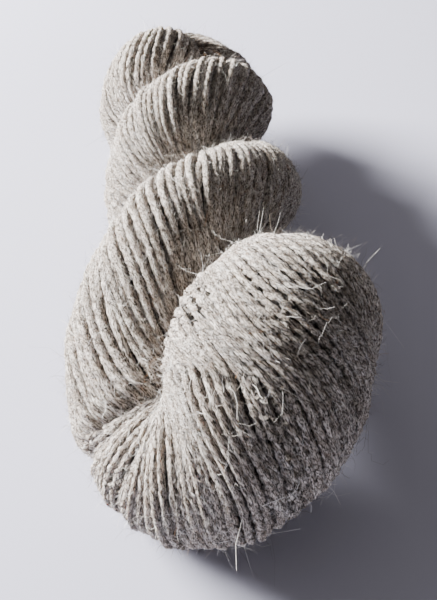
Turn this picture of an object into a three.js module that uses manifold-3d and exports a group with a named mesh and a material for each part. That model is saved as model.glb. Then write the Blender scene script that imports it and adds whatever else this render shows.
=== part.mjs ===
// A twisted hank of wool yarn lying on its side. A long reeled loop of yarn is twisted, folded in half so
// that its halves wind round each other, and closed by tucking one end of the loop through the other.
// Millimetres, +Z up. +Y runs along the hank, from the near fold to the far tucked loops.

import * as THREE from "three";
import { mergeVertices } from "three/addons/utils/BufferGeometryUtils.js";
import Module from "manifold-3d";

// Driving dimensions
const AXIS_HEIGHT = 29.5; // of the line that both halves wind round, above the ground
const SQUASH = 0.8; // how much the hank's own weight flattens its winding
const HANK_MIDDLE = { across: 0.72, back: 106.3 }; // the point of the winding that stands over the origin
const TIGHTEST_BEND = 0.93; // how far a section reaches towards the centre of its own bend
const FOLD_CORE = { back: 18, radius: 12 }; // the yarn that fills the inside of the fold

// How finely the bundles are faceted
const SIDES = 28;
const MAIN_STEP = 4.4;
const LOOP_SIDES = 20;
const LOOP_STEP = 5;

const WOOL = { color: 0xa39a90, roughness: 0.95, metalness: 0 };

// The sections of a bundle. turn is in degrees round the hank's axis, from straight up towards +X. back is
// how far it lies behind the fold. out is from the axis to the bundle's middle, negative for the half that
// lies opposite the turn. wide is the bundle's radius. The rows run from the far end of the first half,
// round the fold, to the far end of the second half.
const FOLDED_BUNDLE = [
  { turn: 530, back: 195, out: -14, wide: 8 },
  { turn: 514, back: 190, out: -17, wide: 14 },
  { turn: 497, back: 181, out: -18.5, wide: 18.5 },
  { turn: 426, back: 166, out: -18, wide: 18 },
  { turn: 354, back: 144, out: -18, wide: 17 },
  { turn: 285, back: 117, out: -16.5, wide: 16.5 },
  { turn: 214, back: 92, out: -16, wide: 17 },
  { turn: 150, back: 70, out: -17.5, wide: 18 },
  { turn: 98, back: 42, out: -20.5, wide: 19 },
  { turn: 50, back: 17, out: -20.5, wide: 21.5 },
  { turn: 41, back: 5, out: -14, wide: 19.5 },
  { turn: 35, back: 1, out: 0, wide: 20.5 },
  { turn: 29, back: 7.5, out: 15, wide: 24 },
  { turn: 34, back: 23, out: 23, wide: 24.5 },
  { turn: 92, back: 49, out: 20, wide: 20.5 },
  { turn: 148, back: 72, out: 17.5, wide: 18.5 },
  { turn: 210, back: 97, out: 16.5, wide: 18 },
  { turn: 274, back: 119, out: 15.5, wide: 17.5 },
  { turn: 342, back: 139, out: 15, wide: 18.5 },
  { turn: 407, back: 157, out: 14.5, wide: 18.5 },
  { turn: 455, back: 174, out: 9, wide: 16 },
  { turn: 480, back: 190, out: 3, wide: 13 },
  { turn: 500, back: 204, out: 0, wide: 8 },
];

// The first half ends in an open loop, whose two sides pass round the second half's end.
const LOOP_OVER = [
  { turn: 280, back: 174, out: 18, wide: 11 },
  { turn: 325, back: 184, out: 18, wide: 10.5 },
  { turn: 380, back: 187, out: 15, wide: 10 },
  { turn: 430, back: 189, out: 17, wide: 10 },
  { turn: 480, back: 191, out: 19, wide: 10 },
  { turn: 510, back: 191, out: 18, wide: 9.5 },
];
const LOOP_UNDER = [
  { turn: 280, back: 174, out: 18, wide: 11 },
  { turn: 240, back: 183, out: 19, wide: 10.5 },
  { turn: 180, back: 189, out: 18, wide: 10 },
  { turn: 120, back: 191, out: 18, wide: 10 },
  { turn: 90, back: 191, out: 18, wide: 9.5 },
];

// The second half ends in a loop that is tucked through and sticks out behind.
const TUCKED_LOOP = [
  { turn: 95, back: 182, out: -6, wide: 10 },
  { turn: 95, back: 198, out: -8.5, wide: 10.5 },
  { turn: 95, back: 212, out: -10.5, wide: 11.5 },
  { turn: 95, back: 223, out: 0, wide: 11 },
  { turn: 95, back: 212, out: 10.5, wide: 11.5 },
  { turn: 95, back: 198, out: 8.5, wide: 10.5 },
  { turn: 95, back: 182, out: 6, wide: 10 },
];

const wasm = await Module();
wasm.setup();

// The centre line of a bundle through its sections.
class BundleCurve extends THREE.Curve {
  constructor(sections) {
    super();
    for (const column of ["turn", "back", "out", "wide"]) {
      this[column] = new THREE.SplineCurve(
        sections.map((section, row) => new THREE.Vector2(row, section[column])),
      );
    }
  }

  getPoint(t, target = new THREE.Vector3()) {
    const turn = THREE.MathUtils.degToRad(this.turn.getPoint(t).y);
    const out = this.out.getPoint(t).y;
    return target.set(
      out * Math.sin(turn) - HANK_MIDDLE.across,
      this.back.getPoint(t).y - HANK_MIDDLE.back,
      out * Math.cos(turn) * SQUASH + AXIS_HEIGHT,
    );
  }

  // The radius at a share of the bundle's length.
  getWideAt(share) {
    return this.wide.getPoint(this.getUtoTmapping(share)).y;
  }
}

// How much the curve turns, as a vector towards the centre of its bend with a length of one over the radius.
function bendAt(tangents, ring, step) {
  const before = tangents[Math.max(ring - 1, 0)];
  const after = tangents[Math.min(ring + 1, tangents.length - 1)];
  return after.clone().sub(before).divideScalar(2 * step);
}

// A round bundle along its curve, between two of the rings that cut it into equal steps: a closed cylinder
// whose own rings are moved onto the curve's sections. A section's inner side is pressed flat where the bend
// is tighter than the bundle is wide.
function bundleGeometry(curve, sides, steps, firstRing = 0, lastRing = steps) {
  const step = curve.getLength() / steps;
  const rings = lastRing - firstRing;
  const { tangents, normals, binormals } = curve.computeFrenetFrames(steps);
  const geometry = new THREE.CylinderGeometry(1, 1, 1, sides, rings);
  const position = geometry.getAttribute("position");
  const vertex = new THREE.Vector3();
  const side = new THREE.Vector3();
  for (let i = 0; i < position.count; i++) {
    vertex.fromBufferAttribute(position, i);
    const ring = firstRing + Math.round((vertex.y + 0.5) * rings);
    const wide = curve.getWideAt(ring / steps);
    side.set(0, 0, 0);
    side.addScaledVector(binormals[ring], vertex.x * wide);
    side.addScaledVector(normals[ring], vertex.z * wide);
    const bend = bendAt(tangents, ring, step);
    const excess = side.dot(bend) - TIGHTEST_BEND;
    if (excess > 0) side.addScaledVector(bend, -excess / bend.lengthSq());
    vertex.copy(curve.getPointAt(ring / steps)).add(side);
    position.setXYZ(i, vertex.x, vertex.y, vertex.z);
  }
  return geometry;
}

// The same shape as a solid that can be joined and cut.
function solidOf(geometry) {
  const bare = geometry.clone();
  bare.deleteAttribute("normal");
  bare.deleteAttribute("uv");
  const merged = mergeVertices(bare);
  return new wasm.Manifold(
    new wasm.Mesh({
      numProp: 3,
      vertProperties: merged.getAttribute("position").array,
      triVerts: new Uint32Array(merged.index.array),
    }),
  );
}

function geometryOf(solid) {
  const { vertProperties, triVerts } = solid.getMesh();
  const geometry = new THREE.BufferGeometry();
  geometry.setAttribute("position", new THREE.BufferAttribute(vertProperties, 3));
  geometry.setIndex(new THREE.BufferAttribute(triVerts, 1));
  const faceted = geometry.toNonIndexed();
  faceted.computeVertexNormals();
  return faceted;
}

function foldCore() {
  const geometry = new THREE.SphereGeometry(FOLD_CORE.radius, LOOP_SIDES, LOOP_SIDES / 2);
  return geometry.translate(0, FOLD_CORE.back - HANK_MIDDLE.back, AXIS_HEIGHT);
}

// Everything above the ground, so that the hank stands on the flat spots that its weight presses.
function groundCut(solid) {
  const { min, max } = solid.boundingBox();
  const box = new THREE.BoxGeometry(2 * (max[0] - min[0]), 2 * (max[1] - min[1]), max[2] * 2);
  box.translate(0, 0, max[2]);
  return solid.intersect(solidOf(box));
}

// The largest body of a solid, without the slivers that joining leaves.
function largestBody(solid) {
  return solid.decompose().sort((a, b) => b.volume() - a.volume())[0];
}

// The folded bundle, as two halves that meet at the nearest ring of the fold and press into each other.
function foldedSolid() {
  const curve = new BundleCurve(FOLDED_BUNDLE);
  const steps = Math.round(curve.getLength() / MAIN_STEP);
  const backs = curve.getSpacedPoints(steps).map((point) => point.y);
  const foldRing = backs.indexOf(Math.min(...backs));
  const firstHalf = solidOf(bundleGeometry(curve, SIDES, steps, 0, foldRing));
  const secondHalf = solidOf(bundleGeometry(curve, SIDES, steps, foldRing, steps));
  return firstHalf.add(secondHalf);
}

function loopSolid(sections) {
  const curve = new BundleCurve(sections);
  return solidOf(bundleGeometry(curve, LOOP_SIDES, Math.round(curve.getLength() / LOOP_STEP)));
}

function hankGeometry() {
  const hank = foldedSolid()
    .add(solidOf(foldCore()))
    .add(loopSolid(LOOP_OVER))
    .add(loopSolid(LOOP_UNDER))
    .add(loopSolid(TUCKED_LOOP));
  return geometryOf(largestBody(groundCut(hank)));
}

const hank = new THREE.Mesh(hankGeometry(), new THREE.MeshStandardMaterial(WOOL));
hank.name = "hank";

const root = new THREE.Group();
root.add(hank);

export default root;
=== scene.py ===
# The looks of a twisted hank of wool yarn. Two-ply strands lie on the same winding as the hank's solid, over
# a deeper layer of strands and a plain, near-black inside of painted shade, and loose fibres stand off them.
# Lengths are millimetres in the part's frame, and become metres where something is made.

import math
from collections import namedtuple

import bpy
import numpy as np
from mathutils import Matrix, Vector
from mathutils.kdtree import KDTree


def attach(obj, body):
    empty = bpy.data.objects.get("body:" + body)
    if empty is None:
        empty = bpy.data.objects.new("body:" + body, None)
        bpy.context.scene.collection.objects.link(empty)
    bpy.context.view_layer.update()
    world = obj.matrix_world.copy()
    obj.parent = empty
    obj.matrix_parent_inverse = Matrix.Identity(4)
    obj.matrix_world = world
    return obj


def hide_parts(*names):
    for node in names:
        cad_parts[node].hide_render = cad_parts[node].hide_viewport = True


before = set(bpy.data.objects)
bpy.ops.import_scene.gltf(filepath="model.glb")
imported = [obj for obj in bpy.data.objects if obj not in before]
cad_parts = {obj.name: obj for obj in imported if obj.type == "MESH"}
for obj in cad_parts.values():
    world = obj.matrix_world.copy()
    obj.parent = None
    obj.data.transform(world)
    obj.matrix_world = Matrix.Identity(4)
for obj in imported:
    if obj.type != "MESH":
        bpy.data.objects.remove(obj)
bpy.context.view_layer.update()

MM = 0.001
TINY = 1e-9

# The winding's sizes, as in the CAD source
AXIS_HEIGHT = 29.5  # of the line that both halves wind round
SQUASH = 0.8  # how much the hank's own weight flattens its winding
HANK_MIDDLE = {"across": 0.72, "back": 106.3}  # the point of the winding that stands over the origin
TIGHTEST_BEND = 0.93  # how far a section reaches towards the centre of its own bend
FOLD_BACK = 18.0  # how far the middle of the fold's inside lies behind the fold

# The sections of each bundle, as in the CAD source: turn in degrees round the hank's axis, back behind the
# fold, out from the axis, and the bundle's radius.
FOLDED_BUNDLE = [
    (530, 195, -14, 8),
    (514, 190, -17, 14),
    (497, 181, -18.5, 18.5),
    (426, 166, -18, 18),
    (354, 144, -18, 17),
    (285, 117, -16.5, 16.5),
    (214, 92, -16, 17),
    (150, 70, -17.5, 18),
    (98, 42, -20.5, 19),
    (50, 17, -20.5, 21.5),
    (41, 5, -14, 19.5),
    (35, 1, 0, 20.5),
    (29, 7.5, 15, 24),
    (34, 23, 23, 24.5),
    (92, 49, 20, 20.5),
    (148, 72, 17.5, 18.5),
    (210, 97, 16.5, 18),
    (274, 119, 15.5, 17.5),
    (342, 139, 15, 18.5),
    (407, 157, 14.5, 18.5),
    (455, 174, 9, 16),
    (480, 190, 3, 13),
    (500, 204, 0, 8),
]
LOOP_OVER = [
    (280, 174, 18, 11),
    (325, 184, 18, 10.5),
    (380, 187, 15, 10),
    (430, 189, 17, 10),
    (480, 191, 19, 10),
    (510, 191, 18, 9.5),
]
LOOP_UNDER = [
    (280, 174, 18, 11),
    (240, 183, 19, 10.5),
    (180, 189, 18, 10),
    (120, 191, 18, 10),
    (90, 191, 18, 9.5),
]
TUCKED_LOOP = [
    (95, 182, -6, 10),
    (95, 198, -8.5, 10.5),
    (95, 212, -10.5, 11.5),
    (95, 223, 0, 11),
    (95, 212, 10.5, 11.5),
    (95, 198, 8.5, 10.5),
    (95, 182, 6, 10),
]

# How finely the bundles are sampled
LOOP_STEP = 1.0
MAIN_STEP = LOOP_STEP / 1.35
FINE_SAMPLES = 4000
BEND_SAMPLES = 9  # how many steps a bend is averaged over
LEAST_STRETCH = 0.3  # of the inner side of a tight bend

# The yarn
YARN_RADIUS = 1.18
PLY_TURN = 9.2  # length of yarn in which its two plies make a whole turn
PLY_LOBES = 0.09  # how far the plies stand out of a round section, as a share of the radius
PLY_STARTS = 20  # radians by which the plies' turn differs between strands of tint 0 and 1
MAIN_STRANDS = 38
LOOP_STRANDS = 22

# The layers of strands: how many lie side by side, how deep their middles are, the first one's phase, the
# sides of their sections, and how many steps apart their rings are.
Layer = namedtuple("Layer", "count depth start sides stride")
OUTER_LAYER = Layer(MAIN_STRANDS, YARN_RADIUS, 0.0, 8, 1)
UNDER_LAYER = Layer(MAIN_STRANDS, 1.62 * YARN_RADIUS, math.pi / MAIN_STRANDS, 5, 2)
LOOP_LAYER = Layer(LOOP_STRANDS, YARN_RADIUS, 0.3, 8, 1)
TINT_SEED = 11
BEFORE_SEED = 20
AFTER_SEED = 40
UNDER_SEED = 60  # added to that of the strands above
LOOP_SEEDS = [200, 210, 220]

# How far strands go round their bundle for each millimetre along it: the distance from the fold's tip, the
# average there, and how much more it is on the side away from the hank's axis.
BEFORE_CREASE = [
    (-300, 0.6, 0.2),
    (-200, 0.75, 0.3),
    (-110, 0.9, 0.35),
    (-80, 0.85, 0.3),
    (-60, 0.68, 0.2),
    (-45, 0.5, 0.1),
    (-25, 0.35, 0),
]
AFTER_CREASE = [
    (-35, 3.6, 0),
    (-20, 4.0, 0),
    (-8, 3.5, 0),
    (5, 2.7, 0),
    (18, 2.8, 0),
    (28, 4.2, 0),
    (38, 3.6, 0),
    (50, 2.0, 0.2),
    (62, 1.25, 0.3),
    (80, 0.95, 0.35),
    (110, 0.9, 0.35),
    (200, 0.75, 0.3),
    (300, 0.6, 0.2),
]
LOOP_COURSE = [
    (0, 0.45, 0),
    (100, 0.45, 0),
]
UNDER_SLOPE = 0.85  # the average of the strands underneath, as a share of that above them

# After the crease strands run more along the bundle on the side where they come out of the crevice: the
# distance from the fold's tip, and by how much less they go round there.
EASED = [
    (-2, 0.0),
    (9, 0.4),
    (24, 0.5),
    (34, 0.45),
    (44, 0.0),
]
NOT_EASED = [(0, 0.0)]
EASED_PHASE = math.radians(303)  # the middle of that side
EASED_WIDTH = math.radians(38)

# The crease, where strands of two courses meet
CREASE_PLACE = -29.0  # from the fold's tip
CREASE_DEPTH = 2.8
CREASE_WIDTH = 3.4
CREASE_OVERLAP = 2  # steps by which both courses run past it

# How unevenly strands lie: by how much, over how many strands side by side and how many millimetres along
# them that changes, and what its seed adds. The first two are shares of the gap between strands, and the
# thickness is a share of the radius.
Unevenness = namedtuple("Unevenness", "amount beside along seed")
SIDE_DRIFT = Unevenness(0.22, 1.3, 18, 0)
SIDE_WANDER = Unevenness(0.13, 0, 8, 4)
LIFT_DRIFT = Unevenness(0.3, 1.1, 14, 1)
LIFT_WANDER = Unevenness(0.25, 0, 7, 2)
ACROSS_WANDER = Unevenness(0.2, 0, 4.5, 5)
THICKNESS = Unevenness(0.09, 0, 7, 3)
LIFT_LIMITS = (-0.45, 0.75)
THICKNESS_LIMITS = (-0.18, 0.18)
SINK = 0.35  # how much deeper than its layer a strand without lift lies
FULL_LIFT_RADIUS = 14  # of a bundle, below which its strands are lifted less
LEAST_LIFT = 0.5

# Where strands are crowded, every other one is pushed under its neighbours. Gaps are in yarn radii.
CROWDED_GAP = 1.5  # below which strands start to be pushed
CROWDED_RANGE = 0.5  # from there to where they are pushed all the way
CROWDED_ALONG = 5  # millimetres along a strand over which that is smoothed
PUSHED_UNDER = 1.15
EVEN_GAP = 1.9  # that a strand fills with its own thickness
SWELL = (0.9, 1.1)  # the thinnest and the thickest that the gap makes a strand

# Which stretches of the strands are made
BURIED_DEPTH = 2.6  # inside another bundle, from which a strand isn't made
SAMPLE_STRIDE = 4  # steps between samples of the folded bundle
LOOP_STRIDE = 3
HALF_STEPS = 24  # steps from the fold's tip to where each half's samples start
TESTED_STEPS = 30  # and to where strands are tested against the other half
RUN_MARGIN = 3  # steps that a stretch goes on out of sight
SHORTEST_RUN = 4
MOST_FACES = 88000  # of four corners, in one piece of strands

# Shade painted into the wool's colour in crevices: the less open air there is over a strand, the darker it
# is painted
CREVICE_SHADE_REACH = 5.5  # how far from other yarn a strand is in the open
OWN_REACH = 50.0  # yarn this near along the strand's own bundle makes no crevice

# The height that is kept above the ground, and the inside's depth and fineness
YARN_CLEARANCE = 0.02
FIBRE_CLEARANCE = 0.1
CORE_CLEARANCE = 0.3
CORE_DEPTH = 3.1 * YARN_RADIUS
CORE_SIDES = 24
CORE_STRIDE = 3

# Loose fibres: how many, their seed, mean length, how much they rise off the strands and spread to the
# sides, and half their width.
Fibres = namedtuple("Fibres", "count seed length rise spread width")
LOOSE_FIBRES = {
    "surface_fibres_1": Fibres(28000, 501, 2.4, 0.16, 0.75, 0.046),
    "surface_fibres_2": Fibres(24000, 503, 2.8, 0.45, 1.1, 0.034),
    "halo_fibres": Fibres(26000, 502, 3.2, 0.9, 0.9, 0.021),
}
FIBRE_KNOTS = 4
FIBRE_LEAN = 0.5  # radians to either side of the strand's outside
FIBRE_ROOT = 0.8  # how far out of the strand's middle it starts, as a share of the radius
FIBRE_EVENNESS = 3  # the higher, the more alike the lengths
FIBRE_BEND = 0.6
FIBRE_WAVE = 0.12
FIBRE_SAG = 0.35
WAVE_LENGTH = 6  # radians of wave on a fibre
WAVE_STARTS = 6.28  # radians along the wave within which a fibre starts
RIBBON_TILT = 0.5
RIBBON_WIDTHS = (0.6, 1.4)
RIBBON_TIP = 0.4

# Single hairs: tint, half-width, and a route by distance from the fold's tip, phase in degrees and height
# above the bundle.
Hair = namedtuple("Hair", "tint width route")
STRAY_HAIRS = [
    Hair(0.97, 0.06, [(4.5, 9, 0.9), (6.5, 14, 2.0), (8.2, 16.5, 2.4), (9, 12, 2.4), (10, 6, 1.3)]),
    Hair(0.1, 0.035, [(17, 52, 0.2), (15, 57, 1.5), (13, 61, 4.0), (13, 66, 7.5)]),
    Hair(0.15, 0.04, [(13.3, 46, 0.4), (14.8, 50, 1.6), (13.8, 53, 2.0), (12.6, 50, 1.4), (13.2, 48, 0.6)]),
    Hair(0.9, 0.03, [(22.5, 4, 0.2), (24.5, 6, 1.4), (25.6, 10, 1.9), (24.8, 14, 1.2)]),
    Hair(0.85, 0.04, [(25, 32, 0.3), (26.5, 37, 1.6), (29, 44, 2.2), (31, 48, 3.0)]),
    Hair(0.95, 0.03, [(24.0, 13, 0.3), (24.6, 15, 1.2), (25.4, 18, 1.5), (25.2, 21, 0.6)]),
    Hair(0.39, 0.05, [(-35, 258, 0.3), (-37.5, 254, 1.4), (-40, 250, 2.4), (-41, 246, 2.2)]),
    Hair(0.6, 0.025, [(-3, 38, 0.2), (-2.5, 40, 0.7), (-1.9, 43, 1.3), (-2.0, 46, 1.7)]),
    Hair(0.9, 0.03, [(34.8, 301, 0.3), (35, 295, 2.4), (36, 290, 4.6), (37.5, 287, 6.0)]),
]
HAIR_KNOTS = 14
HAIR_CORNERS = (0.0, 2.094, 4.189)  # radians round a hair
HAIR_SIDE = (0.3, 0.5, 0.81)  # a direction that no hair runs along
HAIR_TIP = 0.35

# Noise in the wool: how fast it changes along and across the fibres, its scale, detail and roughness
Grain = namedtuple("Grain", "along across scale detail roughness")
FLECKS = Grain(0.32, 2.2, 2.0, 3.0, 0.75)
PATCHES = Grain(0.2, 0.8, 1.0, 2.0, 0.5)
RUST_FIBRES = Grain(0.5, 2.0, 0.7, 1.0, 0.5)
RELIEF = Grain(0.7, 3.4, 2.6, 3.0, 0.65)
CORE_GRAIN = {"scale": 600, "detail": 3, "roughness": 0.5}
STRAND_OFFSET = 371.0  # how far apart in the noise strands of tint 0 and 1 lie

# Colours by their places on a ramp
WHITE = (1.0, 1.0, 1.0)
BLACK = (0.0, 0.0, 0.0)
FLECK_COLOURS = [
    (0.40, (0.015, 0.011, 0.009)),
    (0.46, (0.12, 0.095, 0.078)),
    (0.50, (0.45, 0.402, 0.358)),
    (0.56, (0.87, 0.83, 0.785)),
]
PATCH_COLOURS = [(0.35, (0.55, 0.50, 0.45)), (0.6, (1.0, 0.975, 0.95))]
# painted shade in the grooves between a strand's two plies
GROOVE_SHADE_COLOURS = [(0.0, (0.62, 0.57, 0.53)), (0.6, WHITE)]
# painted shade in the crevices between bundles
CREVICE_SHADE_COLOURS = [(0.0, (0.3, 0.25, 0.21)), (0.45, (0.8, 0.77, 0.74)), (0.85, WHITE)]
RUST_PLACES = [(0.72, BLACK), (0.78, WHITE)]
RUST_COLOUR = (0.36, 0.19, 0.09)
# near-black painted shade for the inside of the bundles, seen through gaps between strands
CORE_SHADE_COLOURS = [(0.35, (0.05, 0.042, 0.035)), (0.65, (0.2, 0.17, 0.15))]
HAIR_COLOURS = [
    (0.0, (0.02, 0.015, 0.012)),
    (0.36, (0.07, 0.052, 0.042)),
    (0.39, (0.38, 0.19, 0.08)),
    (0.42, (0.4, 0.35, 0.3)),
    (0.5, (0.75, 0.71, 0.66)),
    (1.0, (0.95, 0.93, 0.9)),
]

# How strongly they show in the wool
PATCH_SHARE = 0.9
# how strongly the painted groove shade darkens the wool
GROOVE_SHADE_SHARE = 0.8
# how strongly the painted crevice shade darkens the wool
CREVICE_SHADE_SHARE = 1.0
RUST_SHARE = 0.4
LOBE_RISE = 1.35  # how soon a ply reaches its full height
LOBE_RELIEF = 0.8
BUMP_STRENGTH = 0.9
BUMP_DISTANCE = 0.5

WOOL_SHADER = {
    "Roughness": 0.9,
    "Specular IOR Level": 0.2,
    "Sheen Weight": 0.12,
    "Sheen Roughness": 0.5,
    "Sheen Tint": (0.95, 0.92, 0.88, 1),
    "Subsurface Weight": 0.35,
    "Subsurface Radius": (1.0, 0.85, 0.7),
    "Subsurface Scale": 1.2 * MM,
}
HAIR_SHADER = {"Roughness": 0.6, "Specular IOR Level": 0.3}
CORE_SHADER = {"Roughness": 0.95}
FLOOR_SHADER = {"Roughness": 0.85, "Base Color": (0.51, 0.515, 0.635, 1)}

# The floor, the lights and the camera. The room's light grows from one strength to another towards its
# brightest side, between two shares of facing it. Angles are degrees.
FLOOR_REACH = 6000
SIDE_LIGHT = {
    "place": (-1200, 680, 570),
    "target": (0, 0, 30),
    "size": (800, 420),
    "power": 228,
    "colour": (1.0, 0.98, 0.96),
}
ROOM_LIGHT = {
    "colour": (1.0, 0.95, 0.94, 1),
    "brightest": (-0.4, 0.57, 0.72),
    "shares": (-0.6, 1.0),
    "strengths": (0.02, 0.37),
}
CAMERA = {
    "place": (-11.35, -222.75, 175.13),
    "yaw": 3.93,
    "pitch": 40.1,
    "roll": -0.48,
    "lens": 48,
    "sensor": 36,
    "nearest": 10,
}


# Curves and frames

def spline(column, u):
    """A smooth curve through a column of numbers, at shares u of its length in rows."""
    points = np.asarray(column, float)
    last = len(points) - 1
    t = u * last
    i = np.minimum(np.floor(t).astype(int), last - 1)
    w = t - i
    p0, p1 = points[np.maximum(i - 1, 0)], points[i]
    p2, p3 = points[i + 1], points[np.minimum(i + 2, last)]
    v0, v1 = (p2 - p0) / 2, (p3 - p1) / 2
    return (2 * p1 - 2 * p2 + v0 + v1) * w**3 + (-3 * p1 + 3 * p2 - 2 * v0 - v1) * w**2 + v0 * w + p1


def unit(vectors):
    """The same directions, with a length of one."""
    return vectors / np.maximum(np.linalg.norm(vectors, axis=-1, keepdims=True), TINY)


def run_lengths(line):
    """How far along a line each of its points is."""
    return np.concatenate([[0], np.cumsum(np.linalg.norm(np.diff(line, axis=0), axis=1))])


def running_mean(rows, samples):
    """Each column of the rows, averaged over some rows around each."""
    margin = samples // 2
    padded = np.pad(rows, ((margin, margin), (0, 0)), mode="edge")
    kernel = np.ones(samples) / samples
    return np.stack([np.convolve(column, kernel, "valid") for column in padded.T], 1)


def carried_frames(tangents, start):
    """Normals carried along a curve without twist, and the binormals."""
    normals = np.zeros_like(tangents)
    normal = np.array(start, float)
    for i, tangent in enumerate(tangents):
        normal = normal - tangent * normal.dot(tangent)
        normal /= np.linalg.norm(normal)
        normals[i] = normal
    return normals, np.cross(tangents, normals)


class Bundle:
    """A bundle's centre line, radius and frames at even steps of its length. A phase is an angle round it,
    from its carried normal."""

    def __init__(self, rows, step):
        u = np.linspace(0, 1, FINE_SAMPLES)
        turn, back, out, wide = (spline(column, u) for column in zip(*rows))
        turn = np.radians(turn)
        x = out * np.sin(turn) - HANK_MIDDLE["across"]
        y = back - HANK_MIDDLE["back"]
        z = out * np.cos(turn) * SQUASH + AXIS_HEIGHT
        line = np.stack([x, y, z], 1)
        length = run_lengths(line)
        self.s = np.linspace(0, length[-1], int(length[-1] / step) + 1)
        self.step = self.s[1]
        self.centre = np.stack([np.interp(self.s, length, line[:, k]) for k in range(3)], 1)
        self.wide = np.interp(self.s, length, wide)
        tangent = unit(np.gradient(self.centre, axis=0))
        self.bend = running_mean(np.gradient(tangent, self.step, axis=0), BEND_SAMPLES)
        self.normal, self.binormal = carried_frames(tangent, (0, 0, 1))
        self.away = self.phase_away()
        self.crease = None  # its distance along the bundle, where there is one

    def phase_away(self):
        """The phase of the side away from the hank's axis, or at the fold from the middle of its inside."""
        middle = self.centre - [-HANK_MIDDLE["across"], 0, AXIS_HEIGHT]
        middle[:, 1] = np.minimum(middle[:, 1] - FOLD_BACK + HANK_MIDDLE["back"], 0)
        return np.arctan2((middle * self.binormal).sum(1), (middle * self.normal).sum(1))

    def stretch(self, i, outward):
        """How much longer than the centre line the bundle is on one side, from its bend."""
        return np.maximum(1 - self.wide[i] * (outward * self.bend[i]).sum(-1), LEAST_STRETCH)

    def point(self, i, phase, depth):
        """Points below the surface and outward normals, at steps i."""
        outward = np.cos(phase)[..., None] * self.normal[i] + np.sin(phase)[..., None] * self.binormal[i]
        if self.crease is not None:
            apart = (self.s[i] - self.crease) * self.stretch(i, outward) / CREASE_WIDTH
            depth = depth + CREASE_DEPTH * np.exp(-apart**2)
        side = outward * (self.wide[i] - depth)[..., None]
        bend = self.bend[i]
        excess = np.maximum((side * bend).sum(-1) - TIGHTEST_BEND, 0)
        side = side - bend * (excess / np.maximum((bend**2).sum(-1), TINY))[..., None]
        return self.centre[i] + side, outward


# Smooth random numbers

def bell(width):
    """A bell curve at whole steps, as far out as it matters."""
    reach = int(3 * width)
    return np.exp(-0.5 * (np.arange(-reach, reach + 1) / width) ** 2)


def convolved(rows, kernel, axis):
    """Padded rows, each weighted by a kernel along one axis."""
    return np.apply_along_axis(lambda row: np.convolve(row, kernel, "valid"), axis, rows)


def smooth_noise(shape, widths, seed):
    """Random numbers of about unit size, smooth over widths samples along each axis. The first axis closes
    on itself."""
    out = np.random.default_rng(seed).normal(size=shape)
    for axis, width in enumerate(widths):
        if width < 1:
            continue
        kernel = bell(width)
        kernel /= np.sqrt((kernel**2).sum())
        reach = len(kernel) // 2
        margins = [(0, 0)] * out.ndim
        margins[axis] = (reach, reach)
        mode = "wrap" if axis == 0 else "reflect"
        padded = np.pad(out, margins, mode=mode if out.shape[axis] > reach else "edge")
        out = convolved(padded, kernel, axis)
    return out


def smoothed_rows(rows, width):
    """Rows of numbers, each smoothed over width samples."""
    kernel = bell(width)
    reach = len(kernel) // 2
    return convolved(np.pad(rows, ((0, 0), (reach, reach)), mode="edge"), kernel / kernel.sum(), 1)


# The bundles

main = Bundle(FOLDED_BUNDLE, MAIN_STEP)
loops = [Bundle(rows, LOOP_STEP) for rows in (LOOP_OVER, LOOP_UNDER, TUCKED_LOOP)]
tip = int(np.argmin(main.centre[:, 1]))
main.crease = main.s[tip] + CREASE_PLACE


def sampled(bundle, steps):
    """A bundle's centres and radii at some of its steps."""
    return bundle.centre[steps], bundle.wide[steps]


first_half = sampled(main, slice(None, tip - HALF_STEPS, SAMPLE_STRIDE))
second_half = sampled(main, slice(tip + HALF_STEPS, None, SAMPLE_STRIDE))
loop_samples = [sampled(loop, slice(None, None, LOOP_STRIDE)) for loop in loops]


def buried(points, others):
    """Which points lie deep inside one of the other bundles, which are samples of centres and radii."""
    inside = np.zeros(len(points), bool)
    for centre, wide in others:
        tree = KDTree(len(centre))
        for k, place in enumerate(centre):
            tree.insert(place, k)
        tree.balance()
        found = [tree.find(point) for point in points]
        nearest = np.array([k for _, k, _ in found])
        distance = np.array([far for _, _, far in found])
        inside |= distance < wide[nearest] - BURIED_DEPTH
    return inside


def covered(bundle, points):
    """Which points of one of a bundle's strands lie deep inside other bundles."""
    if bundle is not main:
        rest = [sample for loop, sample in zip(loops, loop_samples) if loop is not bundle]
        return buried(points, [first_half, second_half, *rest])
    hidden = np.zeros(len(points), bool)
    steps = np.arange(len(points))
    before, after = steps < tip - TESTED_STEPS, steps > tip + TESTED_STEPS
    hidden[before] = buried(points[before], [second_half, *loop_samples])
    hidden[after] = buried(points[after], [first_half, *loop_samples])
    return hidden


def shade_clearance(bundle, points):
    """How clear of the folded bundle the points of a strand are: 0 on its surface, 1 in the open. It sets
    how much shade is painted on them in crevices.
    """
    centre, wide, s = main.centre[::SAMPLE_STRIDE], main.wide[::SAMPLE_STRIDE], main.s[::SAMPLE_STRIDE]
    away = np.linalg.norm(points[:, None] - centre[None], axis=2) - wide[None]
    if bundle is main:
        away[np.abs(main.s[:, None] - s[None]) < OWN_REACH] = CREVICE_SHADE_REACH
    return np.clip(away.min(1) / CREVICE_SHADE_REACH, 0, 1)


# Strands

Course = namedtuple("Course", "average more eased")
Stretch = namedtuple("Stretch", "points outward radii air tint sides")
tint_draws = np.random.default_rng(TINT_SEED)


def course_at(table, s, eased=NOT_EASED):
    """A course at distances s."""
    places, average, more = zip(*table)
    eased_places, eased_shares = zip(*eased)
    return Course(
        np.interp(s, places, average),
        np.interp(s, places, more),
        np.interp(s, eased_places, eased_shares),
    )


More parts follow.
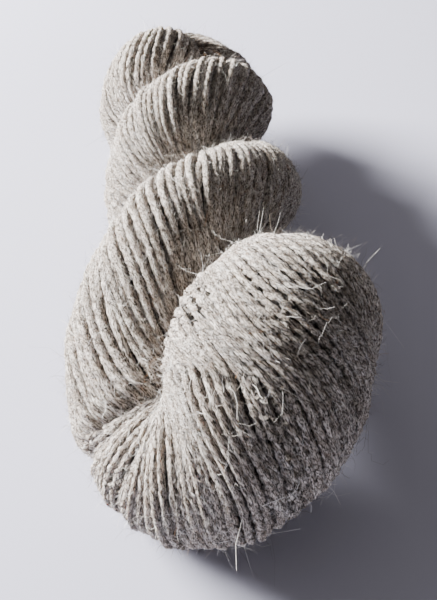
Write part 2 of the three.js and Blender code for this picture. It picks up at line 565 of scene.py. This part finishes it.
def strand_phases(bundle, layer, course, first, last):
    """The phase of every strand from step first to step last, and the gaps between neighbours. Strands are
    even at the first step."""
    direction = 1 if last > first else -1
    phases = np.zeros((layer.count, len(bundle.s)))
    phase = np.linspace(0, 2 * np.pi, layer.count, endpoint=False) + layer.start
    for i in range(first, last, direction):
        slope = course.average[i] + course.more[i] * np.cos(phase - bundle.away[i])
        apart = (phase - EASED_PHASE + np.pi) % (2 * np.pi) - np.pi
        slope = slope * (1 - course.eased[i] * np.exp(-((apart / EASED_WIDTH) ** 2)))
        phases[:, i] = phase
        phase = phase - direction * slope / bundle.wide[i] * bundle.step
    i = np.broadcast_to(np.arange(len(bundle.s)), phases.shape)
    surface, _ = bundle.point(i, phases, np.zeros(i.shape))
    along = unit(np.gradient(surface, axis=1))
    apart = (np.roll(surface, -1, 0) - np.roll(surface, 1, 0)) / 2
    gaps = np.linalg.norm(apart - along * (apart * along).sum(-1, keepdims=True), axis=-1)
    return phases, gaps


def strand_paths(bundle, layer, course, seed, first, last):
    """Centre points, outward normals and radii of a layer's strands, strands by steps."""
    phases, gaps = strand_phases(bundle, layer, course, first, last)

    def uneven(kind):
        widths = (kind.beside, kind.along / bundle.step)
        return kind.amount * smooth_noise(phases.shape, widths, seed + kind.seed)

    even_gap = 2 * np.pi / layer.count
    lift = np.clip(uneven(LIFT_DRIFT) + uneven(LIFT_WANDER), *LIFT_LIMITS)
    crowded = np.clip((CROWDED_GAP - gaps / YARN_RADIUS) / CROWDED_RANGE, 0, 1)
    crowded = smoothed_rows(crowded, CROWDED_ALONG / bundle.step)
    lift[1::2] -= PUSHED_UNDER * crowded[1::2]
    taper = np.clip(bundle.wide / FULL_LIFT_RADIUS, LEAST_LIFT, 1)
    i = np.broadcast_to(np.arange(len(bundle.s)), phases.shape)
    drifted = phases + even_gap * (uneven(SIDE_DRIFT) + uneven(SIDE_WANDER))
    points, outward = bundle.point(i, drifted, layer.depth - (lift - SINK) * taper)
    across = unit(np.cross(np.gradient(points, axis=1), outward))
    points = points + across * uneven(ACROSS_WANDER)[..., None]
    radii = YARN_RADIUS * np.clip(gaps / (EVEN_GAP * YARN_RADIUS), *SWELL)
    radii *= 1 + np.clip(uneven(THICKNESS), *THICKNESS_LIMITS)
    return points, outward, radii


def shown_runs(hidden, outside):
    """Start and end of each run of steps that shows, a little longer than what shows."""
    shown = ~hidden
    grown = shown.copy()
    for shift in range(1, RUN_MARGIN + 1):
        grown[shift:] |= shown[:-shift]
        grown[:-shift] |= shown[shift:]
    grown &= ~outside
    edges = np.flatnonzero(np.diff(np.concatenate([[0], grown.astype(int), [0]])))
    return [(a, b) for a, b in zip(edges[::2], edges[1::2]) if b - a >= SHORTEST_RUN]


def lay_strands(bundle, layer, course, seed, first, last):
    """The stretches that show of every strand of a layer, from step first to step last."""
    points, outward, radii = strand_paths(bundle, layer, course, seed, first, last)
    outside = np.ones(len(bundle.s), bool)
    outside[min(first, last + 1) : max(first + 1, last)] = False
    stretches = []
    for k in range(layer.count):
        hidden = covered(bundle, points[k]) | outside
        air = shade_clearance(bundle, points[k])
        for a, b in shown_runs(hidden, outside):
            picked = np.arange(a, b, layer.stride)
            if len(picked) < SHORTEST_RUN:
                continue
            shown = [column[picked] for column in (points[k], outward[k], radii[k], air)]
            stretches.append(Stretch(*shown, tint_draws.random(), layer.sides))
    return stretches


# Meshes

def tube_faces(rings, sides):
    """The faces between the rings of a tube."""
    ring = np.arange(rings - 1)[:, None] * sides
    side = np.arange(sides)[None, :]
    a, b = ring + side, ring + (side + 1) % sides
    return np.stack([a, a + sides, b + sides, b], -1).reshape(-1, 4)


def strand_tube(stretch):
    """Vertices and faces of a stretch of two-ply yarn, with each vertex's place along and round the yarn,
    and how near it is to the outside of a ply."""
    tangent = unit(np.gradient(stretch.points, axis=0))
    across = unit(np.cross(tangent, stretch.outward))
    up = np.cross(across, tangent)
    along = run_lengths(stretch.points)
    turn = stretch.tint * PLY_STARTS + 2 * np.pi * along / PLY_TURN
    around = np.linspace(0, 2 * np.pi, stretch.sides, endpoint=False)[None, :]
    angle = around + turn[:, None]
    reach = stretch.radii[:, None] * (1 + PLY_LOBES * np.cos(2 * around))
    ring = np.cos(angle)[..., None] * across[:, None] + np.sin(angle)[..., None] * up[:, None]
    vertices = stretch.points[:, None] + ring * reach[..., None]
    vertices[..., 2] = np.maximum(vertices[..., 2], YARN_CLEARANCE)
    fibre = np.stack([np.broadcast_to(along[:, None], angle.shape), np.cos(angle), np.sin(angle)], -1)
    ply = np.broadcast_to(np.abs(np.cos(around)), angle.shape)
    faces = tube_faces(len(stretch.points), stretch.sides)
    return vertices.reshape(-1, 3), faces, fibre.reshape(-1, 3), ply.ravel()


def make_mesh(name, vertices, faces, attributes, material):
    """A piece with smooth faces, and with numbers or vectors at its vertices for its material."""
    mesh = bpy.data.meshes.new(name)
    mesh.vertices.add(len(vertices))
    mesh.vertices.foreach_set("co", (vertices * MM).astype(np.float32).ravel())
    mesh.loops.add(faces.size)
    mesh.loops.foreach_set("vertex_index", faces.astype(np.int32).ravel())
    mesh.polygons.add(len(faces))
    mesh.polygons.foreach_set("loop_start", np.arange(0, faces.size, faces.shape[1], dtype=np.int32))
    mesh.polygons.foreach_set("use_smooth", np.ones(len(faces), bool))
    for key, values in attributes.items():
        kind, field = ("FLOAT", "value") if values.ndim == 1 else ("FLOAT_VECTOR", "vector")
        made = mesh.attributes.new(key, kind, "POINT")
        made.data.foreach_set(field, values.astype(np.float32).ravel())
    mesh.update(calc_edges=True)
    mesh.validate()
    mesh.materials.append(material)
    piece = bpy.data.objects.new(name, mesh)
    bpy.context.scene.collection.objects.link(piece)
    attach(piece, "root")
    return piece


# Materials

def new_material(name, settings):
    """A material with its shader's own sockets set, its node tree and its shader."""
    material = bpy.data.materials.new(name)
    material.use_nodes = True
    shader = material.node_tree.nodes["Principled BSDF"]
    for key, value in settings.items():
        shader.inputs[key].default_value = value
    return material, material.node_tree, shader


def attribute(tree, name, output="Fac"):
    made = tree.nodes.new("ShaderNodeAttribute")
    made.attribute_name = name
    return made.outputs[output]


def math_node(tree, operation, a, b):
    made = tree.nodes.new("ShaderNodeMath")
    made.operation = operation
    for socket, value in zip(made.inputs, (a, b)):
        if isinstance(value, (int, float)):
            socket.default_value = value
        else:
            tree.links.new(value, socket)
    return made.outputs[0]


def vector_node(tree, operation, a, b):
    made = tree.nodes.new("ShaderNodeVectorMath")
    made.operation = operation
    for socket, value in zip(made.inputs, (a, b)):
        if isinstance(value, tuple):
            socket.default_value = value
        else:
            tree.links.new(value, socket)
    return made.outputs[0]


def ramp(tree, value, stops):
    made = tree.nodes.new("ShaderNodeValToRGB")
    elements = made.color_ramp.elements
    while len(elements) < len(stops):
        elements.new(0.5)
    for element, (place, colour) in zip(elements, stops):
        element.position = place
        element.color = (*colour, 1)
    tree.links.new(value, made.inputs[0])
    return made.outputs[0]


def mix(tree, factor, a, b, blend="MIX"):
    """Two colours mixed. The node has other sockets for numbers and vectors, which stay unused."""
    made = tree.nodes.new("ShaderNodeMix")
    made.data_type = "RGBA"
    made.blend_type = blend
    factor_socket, a_socket, b_socket = made.inputs[0], made.inputs[6], made.inputs[7]
    for socket, value in ((factor_socket, factor), (a_socket, a), (b_socket, b)):
        if isinstance(value, (int, float)):
            socket.default_value = value
        elif isinstance(value, tuple):
            socket.default_value = (*value, 1)
        else:
            tree.links.new(value, socket)
    return made.outputs[2]


def noise(tree, vector, scale, detail, roughness):
    made = tree.nodes.new("ShaderNodeTexNoise")
    made.inputs["Scale"].default_value = scale
    made.inputs["Detail"].default_value = detail
    made.inputs["Roughness"].default_value = roughness
    tree.links.new(vector, made.inputs["Vector"])
    return made.outputs["Fac"]


def grain(tree, kind):
    """Noise that changes slowly along the fibres and fast across them, and differs between strands."""
    offset = tree.nodes.new("ShaderNodeCombineXYZ")
    tree.links.new(math_node(tree, "MULTIPLY", attribute(tree, "tint"), STRAND_OFFSET), offset.inputs[0])
    rates = (kind.along, kind.across, kind.across)
    scaled = vector_node(tree, "MULTIPLY", attribute(tree, "fibre", "Vector"), rates)
    place = vector_node(tree, "ADD", scaled, offset.outputs[0])
    return noise(tree, place, kind.scale, kind.detail, kind.roughness)


def ply_lobes(tree):
    """1 along the middle of each of the yarn's two plies, 0 in the grooves between them."""
    return math_node(tree, "MINIMUM", math_node(tree, "MULTIPLY", attribute(tree, "ply"), LOBE_RISE), 1.0)


def wool_colour(tree):
    """Pale, brown, near-black and a few rusty fibres carded together, with shade painted into the grooves
    between plies and the crevices between bundles.
    """
    flecks = ramp(tree, grain(tree, FLECKS), FLECK_COLOURS)
    patches = ramp(tree, grain(tree, PATCHES), PATCH_COLOURS)
    colour = mix(tree, PATCH_SHARE, flecks, patches, "MULTIPLY")
    # painted shade in the grooves between plies
    grooves = ramp(tree, ply_lobes(tree), GROOVE_SHADE_COLOURS)
    colour = mix(tree, GROOVE_SHADE_SHARE, colour, grooves, "MULTIPLY")
    # painted shade: darker where little open air is over a strand, in crevices between bundles
    crevices = ramp(tree, attribute(tree, "shade_clearance"), CREVICE_SHADE_COLOURS)
    colour = mix(tree, CREVICE_SHADE_SHARE, colour, crevices, "MULTIPLY")
    rust = math_node(tree, "MULTIPLY", ramp(tree, grain(tree, RUST_FIBRES), RUST_PLACES), RUST_SHARE)
    return mix(tree, rust, colour, RUST_COLOUR)


def wool_material():
    """Undyed heathered wool, with shade painted into its colour in grooves and crevices."""
    material, tree, shader = new_material("heathered_wool_and_painted_shade", WOOL_SHADER)
    tree.links.new(wool_colour(tree), shader.inputs["Base Color"])
    lobes = math_node(tree, "MULTIPLY", ply_lobes(tree), LOBE_RELIEF)
    bump = tree.nodes.new("ShaderNodeBump")
    bump.inputs["Strength"].default_value = BUMP_STRENGTH
    bump.inputs["Distance"].default_value = BUMP_DISTANCE * MM
    tree.links.new(math_node(tree, "ADD", lobes, grain(tree, RELIEF)), bump.inputs["Height"])
    tree.links.new(bump.outputs[0], shader.inputs["Normal"])
    return material


def hair_material():
    """Loose fibres, by tint: most pale, some near-black and a few rust-brown."""
    material, tree, shader = new_material("loose_fibres", HAIR_SHADER)
    tree.links.new(ramp(tree, attribute(tree, "tint"), HAIR_COLOURS), shader.inputs["Base Color"])
    return material


def core_material():
    """The yarn inside the bundles, seen only through gaps, coloured near-black as painted shade."""
    material, tree, shader = new_material("inner_wool_painted_shade", CORE_SHADER)
    place = tree.nodes.new("ShaderNodeTexCoord").outputs["Object"]
    colour = ramp(tree, noise(tree, place, **CORE_GRAIN), CORE_SHADE_COLOURS)
    tree.links.new(colour, shader.inputs["Base Color"])
    return material


WOOL = wool_material()
CORE = core_material()
HAIR = hair_material()


# Pieces

def core_piece():
    """The inside of every bundle, under its strands, as a dark sheet of painted shade."""
    vertices, faces, first = [], [], 0
    phase = np.linspace(0, 2 * np.pi, CORE_SIDES, endpoint=False)
    for bundle in [main, *loops]:
        picked = np.arange(0, len(bundle.s), CORE_STRIDE)
        i = np.repeat(picked[:, None], CORE_SIDES, 1)
        points, _ = bundle.point(i, np.broadcast_to(phase, i.shape), np.full(i.shape, CORE_DEPTH))
        points[..., 2] = np.maximum(points[..., 2], CORE_CLEARANCE)
        vertices.append(points.reshape(-1, 3))
        faces.append(tube_faces(len(picked), CORE_SIDES) + first)
        first += i.size
    piece = make_mesh("wool_inside", np.concatenate(vertices), np.concatenate(faces), {}, CORE)
    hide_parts("hank")


def strand_piece(name, stretches):
    """One mesh of many stretches of yarn."""
    parts, first = [], 0
    for stretch in stretches:
        vertices, faces, fibre, ply = strand_tube(stretch)
        air = np.repeat(stretch.air, stretch.sides)
        tint = np.full(len(vertices), stretch.tint)
        parts.append((vertices, faces + first, fibre, ply, air, tint))
        first += len(vertices)
    vertices, faces, *columns = (np.concatenate(column) for column in zip(*parts))
    make_mesh(name, vertices, faces, dict(zip(("fibre", "ply", "shade_clearance", "tint"), columns)), WOOL)


def strand_pieces(name, stretches):
    """As few meshes of the stretches as keep each under the most faces that a piece may have."""
    groups, faces = [[]], 0
    for stretch in stretches:
        size = (len(stretch.points) - 1) * stretch.sides
        if faces + size > MOST_FACES:
            groups.append([])
            faces = 0
        groups[-1].append(stretch)
        faces += size
    for number, group in enumerate(groups, 1):
        strand_piece(f"{name}_{number}", group)


def half_strands():
    """The strands of both halves and the layer under them, which meet at the crease."""
    from_tip = main.s - main.s[tip]
    crease_step = int(main.crease / main.step)
    before = course_at(BEFORE_CREASE, from_tip)
    after = course_at(AFTER_CREASE, from_tip, EASED)
    outer, under = [], []
    for course, seed, first, last in (
        (before, BEFORE_SEED, crease_step + CREASE_OVERLAP, -1),
        (after, AFTER_SEED, crease_step - CREASE_OVERLAP, len(main.s)),
    ):
        outer += lay_strands(main, OUTER_LAYER, course, seed, first, last)
        inner = course._replace(average=UNDER_SLOPE * course.average)
        under += lay_strands(main, UNDER_LAYER, inner, seed + UNDER_SEED, first, last)
    return outer, under


def sample_strands(stretches, count, generator):
    """Random places on strands: centres, outward normals, ways along the yarn, and radii."""
    sizes = np.array([len(stretch.points) - 1 for stretch in stretches])
    chosen = generator.choice(len(stretches), count, p=sizes / sizes.sum())
    places = []
    for pick, share in zip(chosen, generator.random(count)):
        points, outward, radii = stretches[pick][:3]
        i = min(int(share * sizes[pick]), sizes[pick] - 1)
        places.append((points[i], outward[i], points[i + 1] - points[i], radii[i]))
    return [np.array(column) for column in zip(*places)]


def loose_fibres(stretches, fibres, generator):
    """Curled fibres that leave the strands: their places, fibres by knots, and the outward normals there."""

    def drawn(spread):
        return generator.normal(0, spread, fibres.count)[:, None]

    def sideways(heading):
        return unit(np.cross(heading, generator.normal(size=(fibres.count, 3))))

    centre, outward, along, radius = sample_strands(stretches, fibres.count, generator)
    along = unit(along)
    across = unit(np.cross(along, outward))
    lean = drawn(FIBRE_LEAN)
    root = centre + (outward * np.cos(lean) + across * np.sin(lean)) * (FIBRE_ROOT * radius)[:, None]
    ahead = along * generator.choice([-1, 1], fibres.count)[:, None]
    heading = unit(ahead + across * drawn(fibres.spread) + outward * np.abs(drawn(fibres.rise)))
    reach = generator.gamma(FIBRE_EVENNESS, fibres.length / FIBRE_EVENNESS, fibres.count)[:, None]
    bent = sideways(heading) * drawn(FIBRE_BEND)
    wave = sideways(heading) * FIBRE_WAVE
    wave_start = generator.uniform(0, WAVE_STARTS, fibres.count)[:, None]
    places = []
    for t in np.linspace(0, 1, FIBRE_KNOTS):
        curl = heading * t + bent * t**2 + wave * np.sin(WAVE_LENGTH * t + wave_start) * t
        sag = outward * (FIBRE_SAG * fibres.rise * t**2)
        places.append(root + (curl - sag) * reach)
    places = np.stack(places, 1)
    places[..., 2] = np.maximum(places[..., 2], FIBRE_CLEARANCE)
    return places, outward


def fibre_piece(name, stretches):
    """Loose fibres as flat ribbons that narrow to their tips."""
    fibres = LOOSE_FIBRES[name]
    generator = np.random.default_rng(fibres.seed)
    places, outward = loose_fibres(stretches, fibres, generator)
    tangent = unit(np.gradient(places, axis=1))
    tilt = RIBBON_TILT * generator.normal(size=(fibres.count, 1, 3))
    side = unit(np.cross(tangent, outward[:, None] + tilt))
    widths = fibres.width * generator.uniform(*RIBBON_WIDTHS, fibres.count)[:, None, None]
    offset = side * widths * np.linspace(1, RIBBON_TIP, FIBRE_KNOTS)[None, :, None]
    vertices = np.stack([places - offset, places + offset], 2).reshape(-1, 3)
    corner = 2 * (np.arange(fibres.count)[:, None] * FIBRE_KNOTS + np.arange(FIBRE_KNOTS - 1)[None, :])
    faces = np.stack([corner, corner + 1, corner + 3, corner + 2], -1).reshape(-1, 4)
    tint = np.repeat(generator.random(fibres.count), 2 * FIBRE_KNOTS)
    make_mesh(name, vertices, faces, {"tint": tint}, HAIR)


def stray_hairs():
    """The single hairs that stand off the fold, three-sided and tapered."""
    share = np.linspace(0, 1, HAIR_KNOTS)
    places = []
    for hair in STRAY_HAIRS:
        along, phase, height = (spline(column, share) for column in zip(*hair.route))
        steps = tip + np.round(along / main.step).astype(int)
        point, outward = main.point(steps, np.radians(phase), np.zeros(HAIR_KNOTS))
        places.append(point + outward * height[:, None])
    places = np.array(places)
    tangent = unit(np.gradient(places, axis=1))
    side = unit(np.cross(tangent, HAIR_SIDE))
    up = np.cross(side, tangent)
    widths = np.array([hair.width for hair in STRAY_HAIRS])[:, None, None]
    widths = widths * np.linspace(1, HAIR_TIP, HAIR_KNOTS)[None, :, None]
    rings = [places + widths * (math.cos(angle) * side + math.sin(angle) * up) for angle in HAIR_CORNERS]
    corners = HAIR_KNOTS * len(HAIR_CORNERS)
    first = corners * np.arange(len(STRAY_HAIRS))[:, None, None]
    vertices = np.stack(rings, 2).reshape(-1, 3)
    faces = (first + tube_faces(HAIR_KNOTS, len(HAIR_CORNERS))).reshape(-1, 4)
    tint = np.repeat([hair.tint for hair in STRAY_HAIRS], corners)
    make_mesh("stray_hairs", vertices, faces, {"tint": tint}, HAIR)


# Stage, light and camera

def floor():
    mesh = bpy.data.meshes.new("floor")
    reach = FLOOR_REACH * MM
    corners = [(-reach, -reach, 0), (reach, -reach, 0), (reach, reach, 0), (-reach, reach, 0)]
    mesh.from_pydata(corners, [], [(0, 1, 2, 3)])
    mesh.materials.append(new_material("pale_floor", FLOOR_SHADER)[0])
    piece = bpy.data.objects.new("floor", mesh)
    bpy.context.scene.collection.objects.link(piece)


def side_light():
    """A soft rectangle of light from the left and behind."""
    data = bpy.data.lights.new("side_light", "AREA")
    data.shape = "RECTANGLE"
    data.size, data.size_y = np.array(SIDE_LIGHT["size"]) * MM
    data.energy = SIDE_LIGHT["power"]
    data.color = SIDE_LIGHT["colour"]
    light = bpy.data.objects.new("side_light", data)
    bpy.context.scene.collection.objects.link(light)
    light.location = Vector(SIDE_LIGHT["place"]) * MM
    direction = Vector(SIDE_LIGHT["target"]) - Vector(SIDE_LIGHT["place"])
    light.rotation_euler = direction.to_track_quat("-Z", "Y").to_euler()


def room_light():
    """A dim room, brighter on the left, behind and overhead than on the near right."""
    world = bpy.data.worlds.new("world")
    bpy.context.scene.world = world
    world.use_nodes = True
    tree = world.node_tree
    background = tree.nodes["Background"]
    background.inputs["Color"].default_value = ROOM_LIGHT["colour"]
    towards = tree.nodes.new("ShaderNodeVectorMath")
    towards.operation = "DOT_PRODUCT"
    tree.links.new(tree.nodes.new("ShaderNodeTexCoord").outputs["Generated"], towards.inputs[0])
    towards.inputs[1].default_value = ROOM_LIGHT["brightest"]
    strength = tree.nodes.new("ShaderNodeMapRange")
    tree.links.new(towards.outputs["Value"], strength.inputs["Value"])
    for end, share, value in zip(("Min", "Max"), ROOM_LIGHT["shares"], ROOM_LIGHT["strengths"]):
        strength.inputs["From " + end].default_value = share
        strength.inputs["To " + end].default_value = value
    tree.links.new(strength.outputs["Result"], background.inputs["Strength"])


def camera():
    data = bpy.data.cameras.new("camera")
    data.lens = CAMERA["lens"]
    data.sensor_width = CAMERA["sensor"]
    data.clip_start = CAMERA["nearest"] * MM
    piece = bpy.data.objects.new("camera", data)
    bpy.context.scene.collection.objects.link(piece)
    yaw, pitch, roll = (math.radians(CAMERA[key]) for key in ("yaw", "pitch", "roll"))
    ahead = np.array([math.sin(yaw) * math.cos(pitch), math.cos(yaw) * math.cos(pitch), -math.sin(pitch)])
    level = np.array([math.cos(yaw), -math.sin(yaw), 0])
    upright = np.cross(level, ahead)
    right = math.cos(roll) * level + math.sin(roll) * upright
    up = math.cos(roll) * upright - math.sin(roll) * level
    matrix = Matrix(np.stack([right, up, -ahead], 1).tolist()).to_4x4()
    matrix.translation = np.array(CAMERA["place"]) * MM
    piece.matrix_world = matrix
    bpy.context.scene.camera = piece


# The hank, and what it is seen with

core_piece()
outer_strands, under_strands = half_strands()
strand_pieces("strands", outer_strands)
strand_pieces("under_strands", under_strands)
shown_strands = outer_strands
for number, (loop, loop_seed) in enumerate(zip(loops, LOOP_SEEDS), 1):
    loop_course = course_at(LOOP_COURSE, loop.s)
    loop_strands = lay_strands(loop, LOOP_LAYER, loop_course, loop_seed, 0, len(loop.s))
    strand_pieces(f"loop_strands_{number}", loop_strands)
    shown_strands = shown_strands + loop_strands
fibre_piece("surface_fibres_1", shown_strands)
fibre_piece("surface_fibres_2", shown_strands)
stray_hairs()
fibre_piece("halo_fibres", shown_strands)
floor()
side_light()
room_light()
camera()
